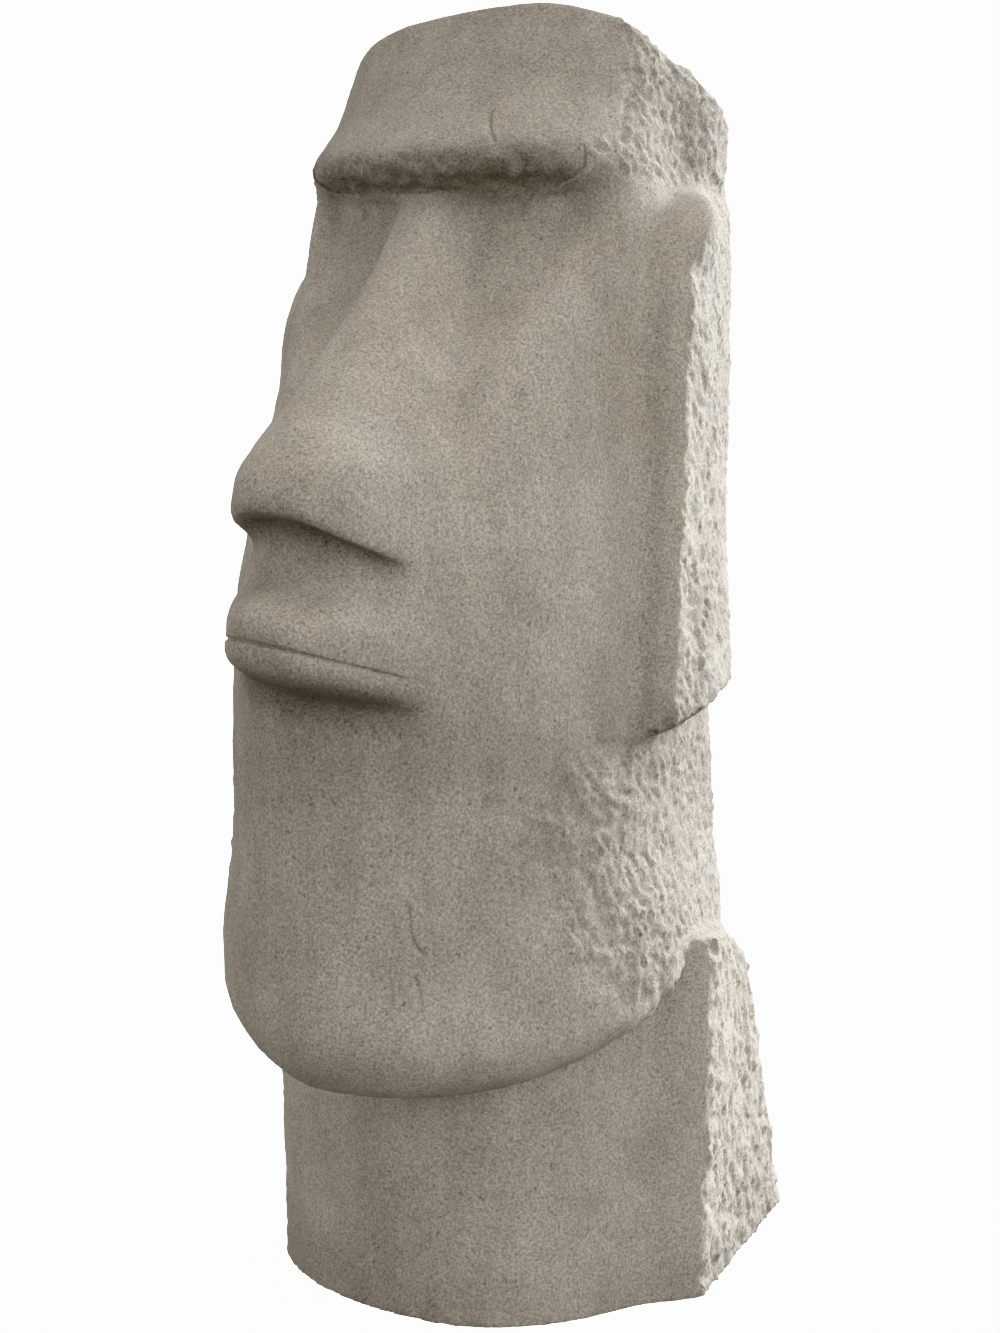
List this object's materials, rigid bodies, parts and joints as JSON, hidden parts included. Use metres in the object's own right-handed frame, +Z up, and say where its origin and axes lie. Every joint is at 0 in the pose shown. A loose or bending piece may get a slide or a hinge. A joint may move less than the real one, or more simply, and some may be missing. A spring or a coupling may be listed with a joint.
{
  "type": "moai statue",
  "caption": "Garden statue of a moai: a tall stylised head with heavy brow, long nose, pursed lips and long ears, on a block base bowed in front, cast in one piece of rough sandy stone.",
  "frame": {"origin": "on the ground, under the middle of the statue's bounding box", "axes": "+Z up, -Y the way the face looks, +X the statue's own left"},
  "size_m": [0.392, 0.5957, 0.9999],
  "materials": {
    "stone": "rough sand-coloured cast stone with a fine light and dark grain, hammered sides and back"
  },
  "bodies": {
    "root": {"moai": "stone"}
  },
  "joints": []
}
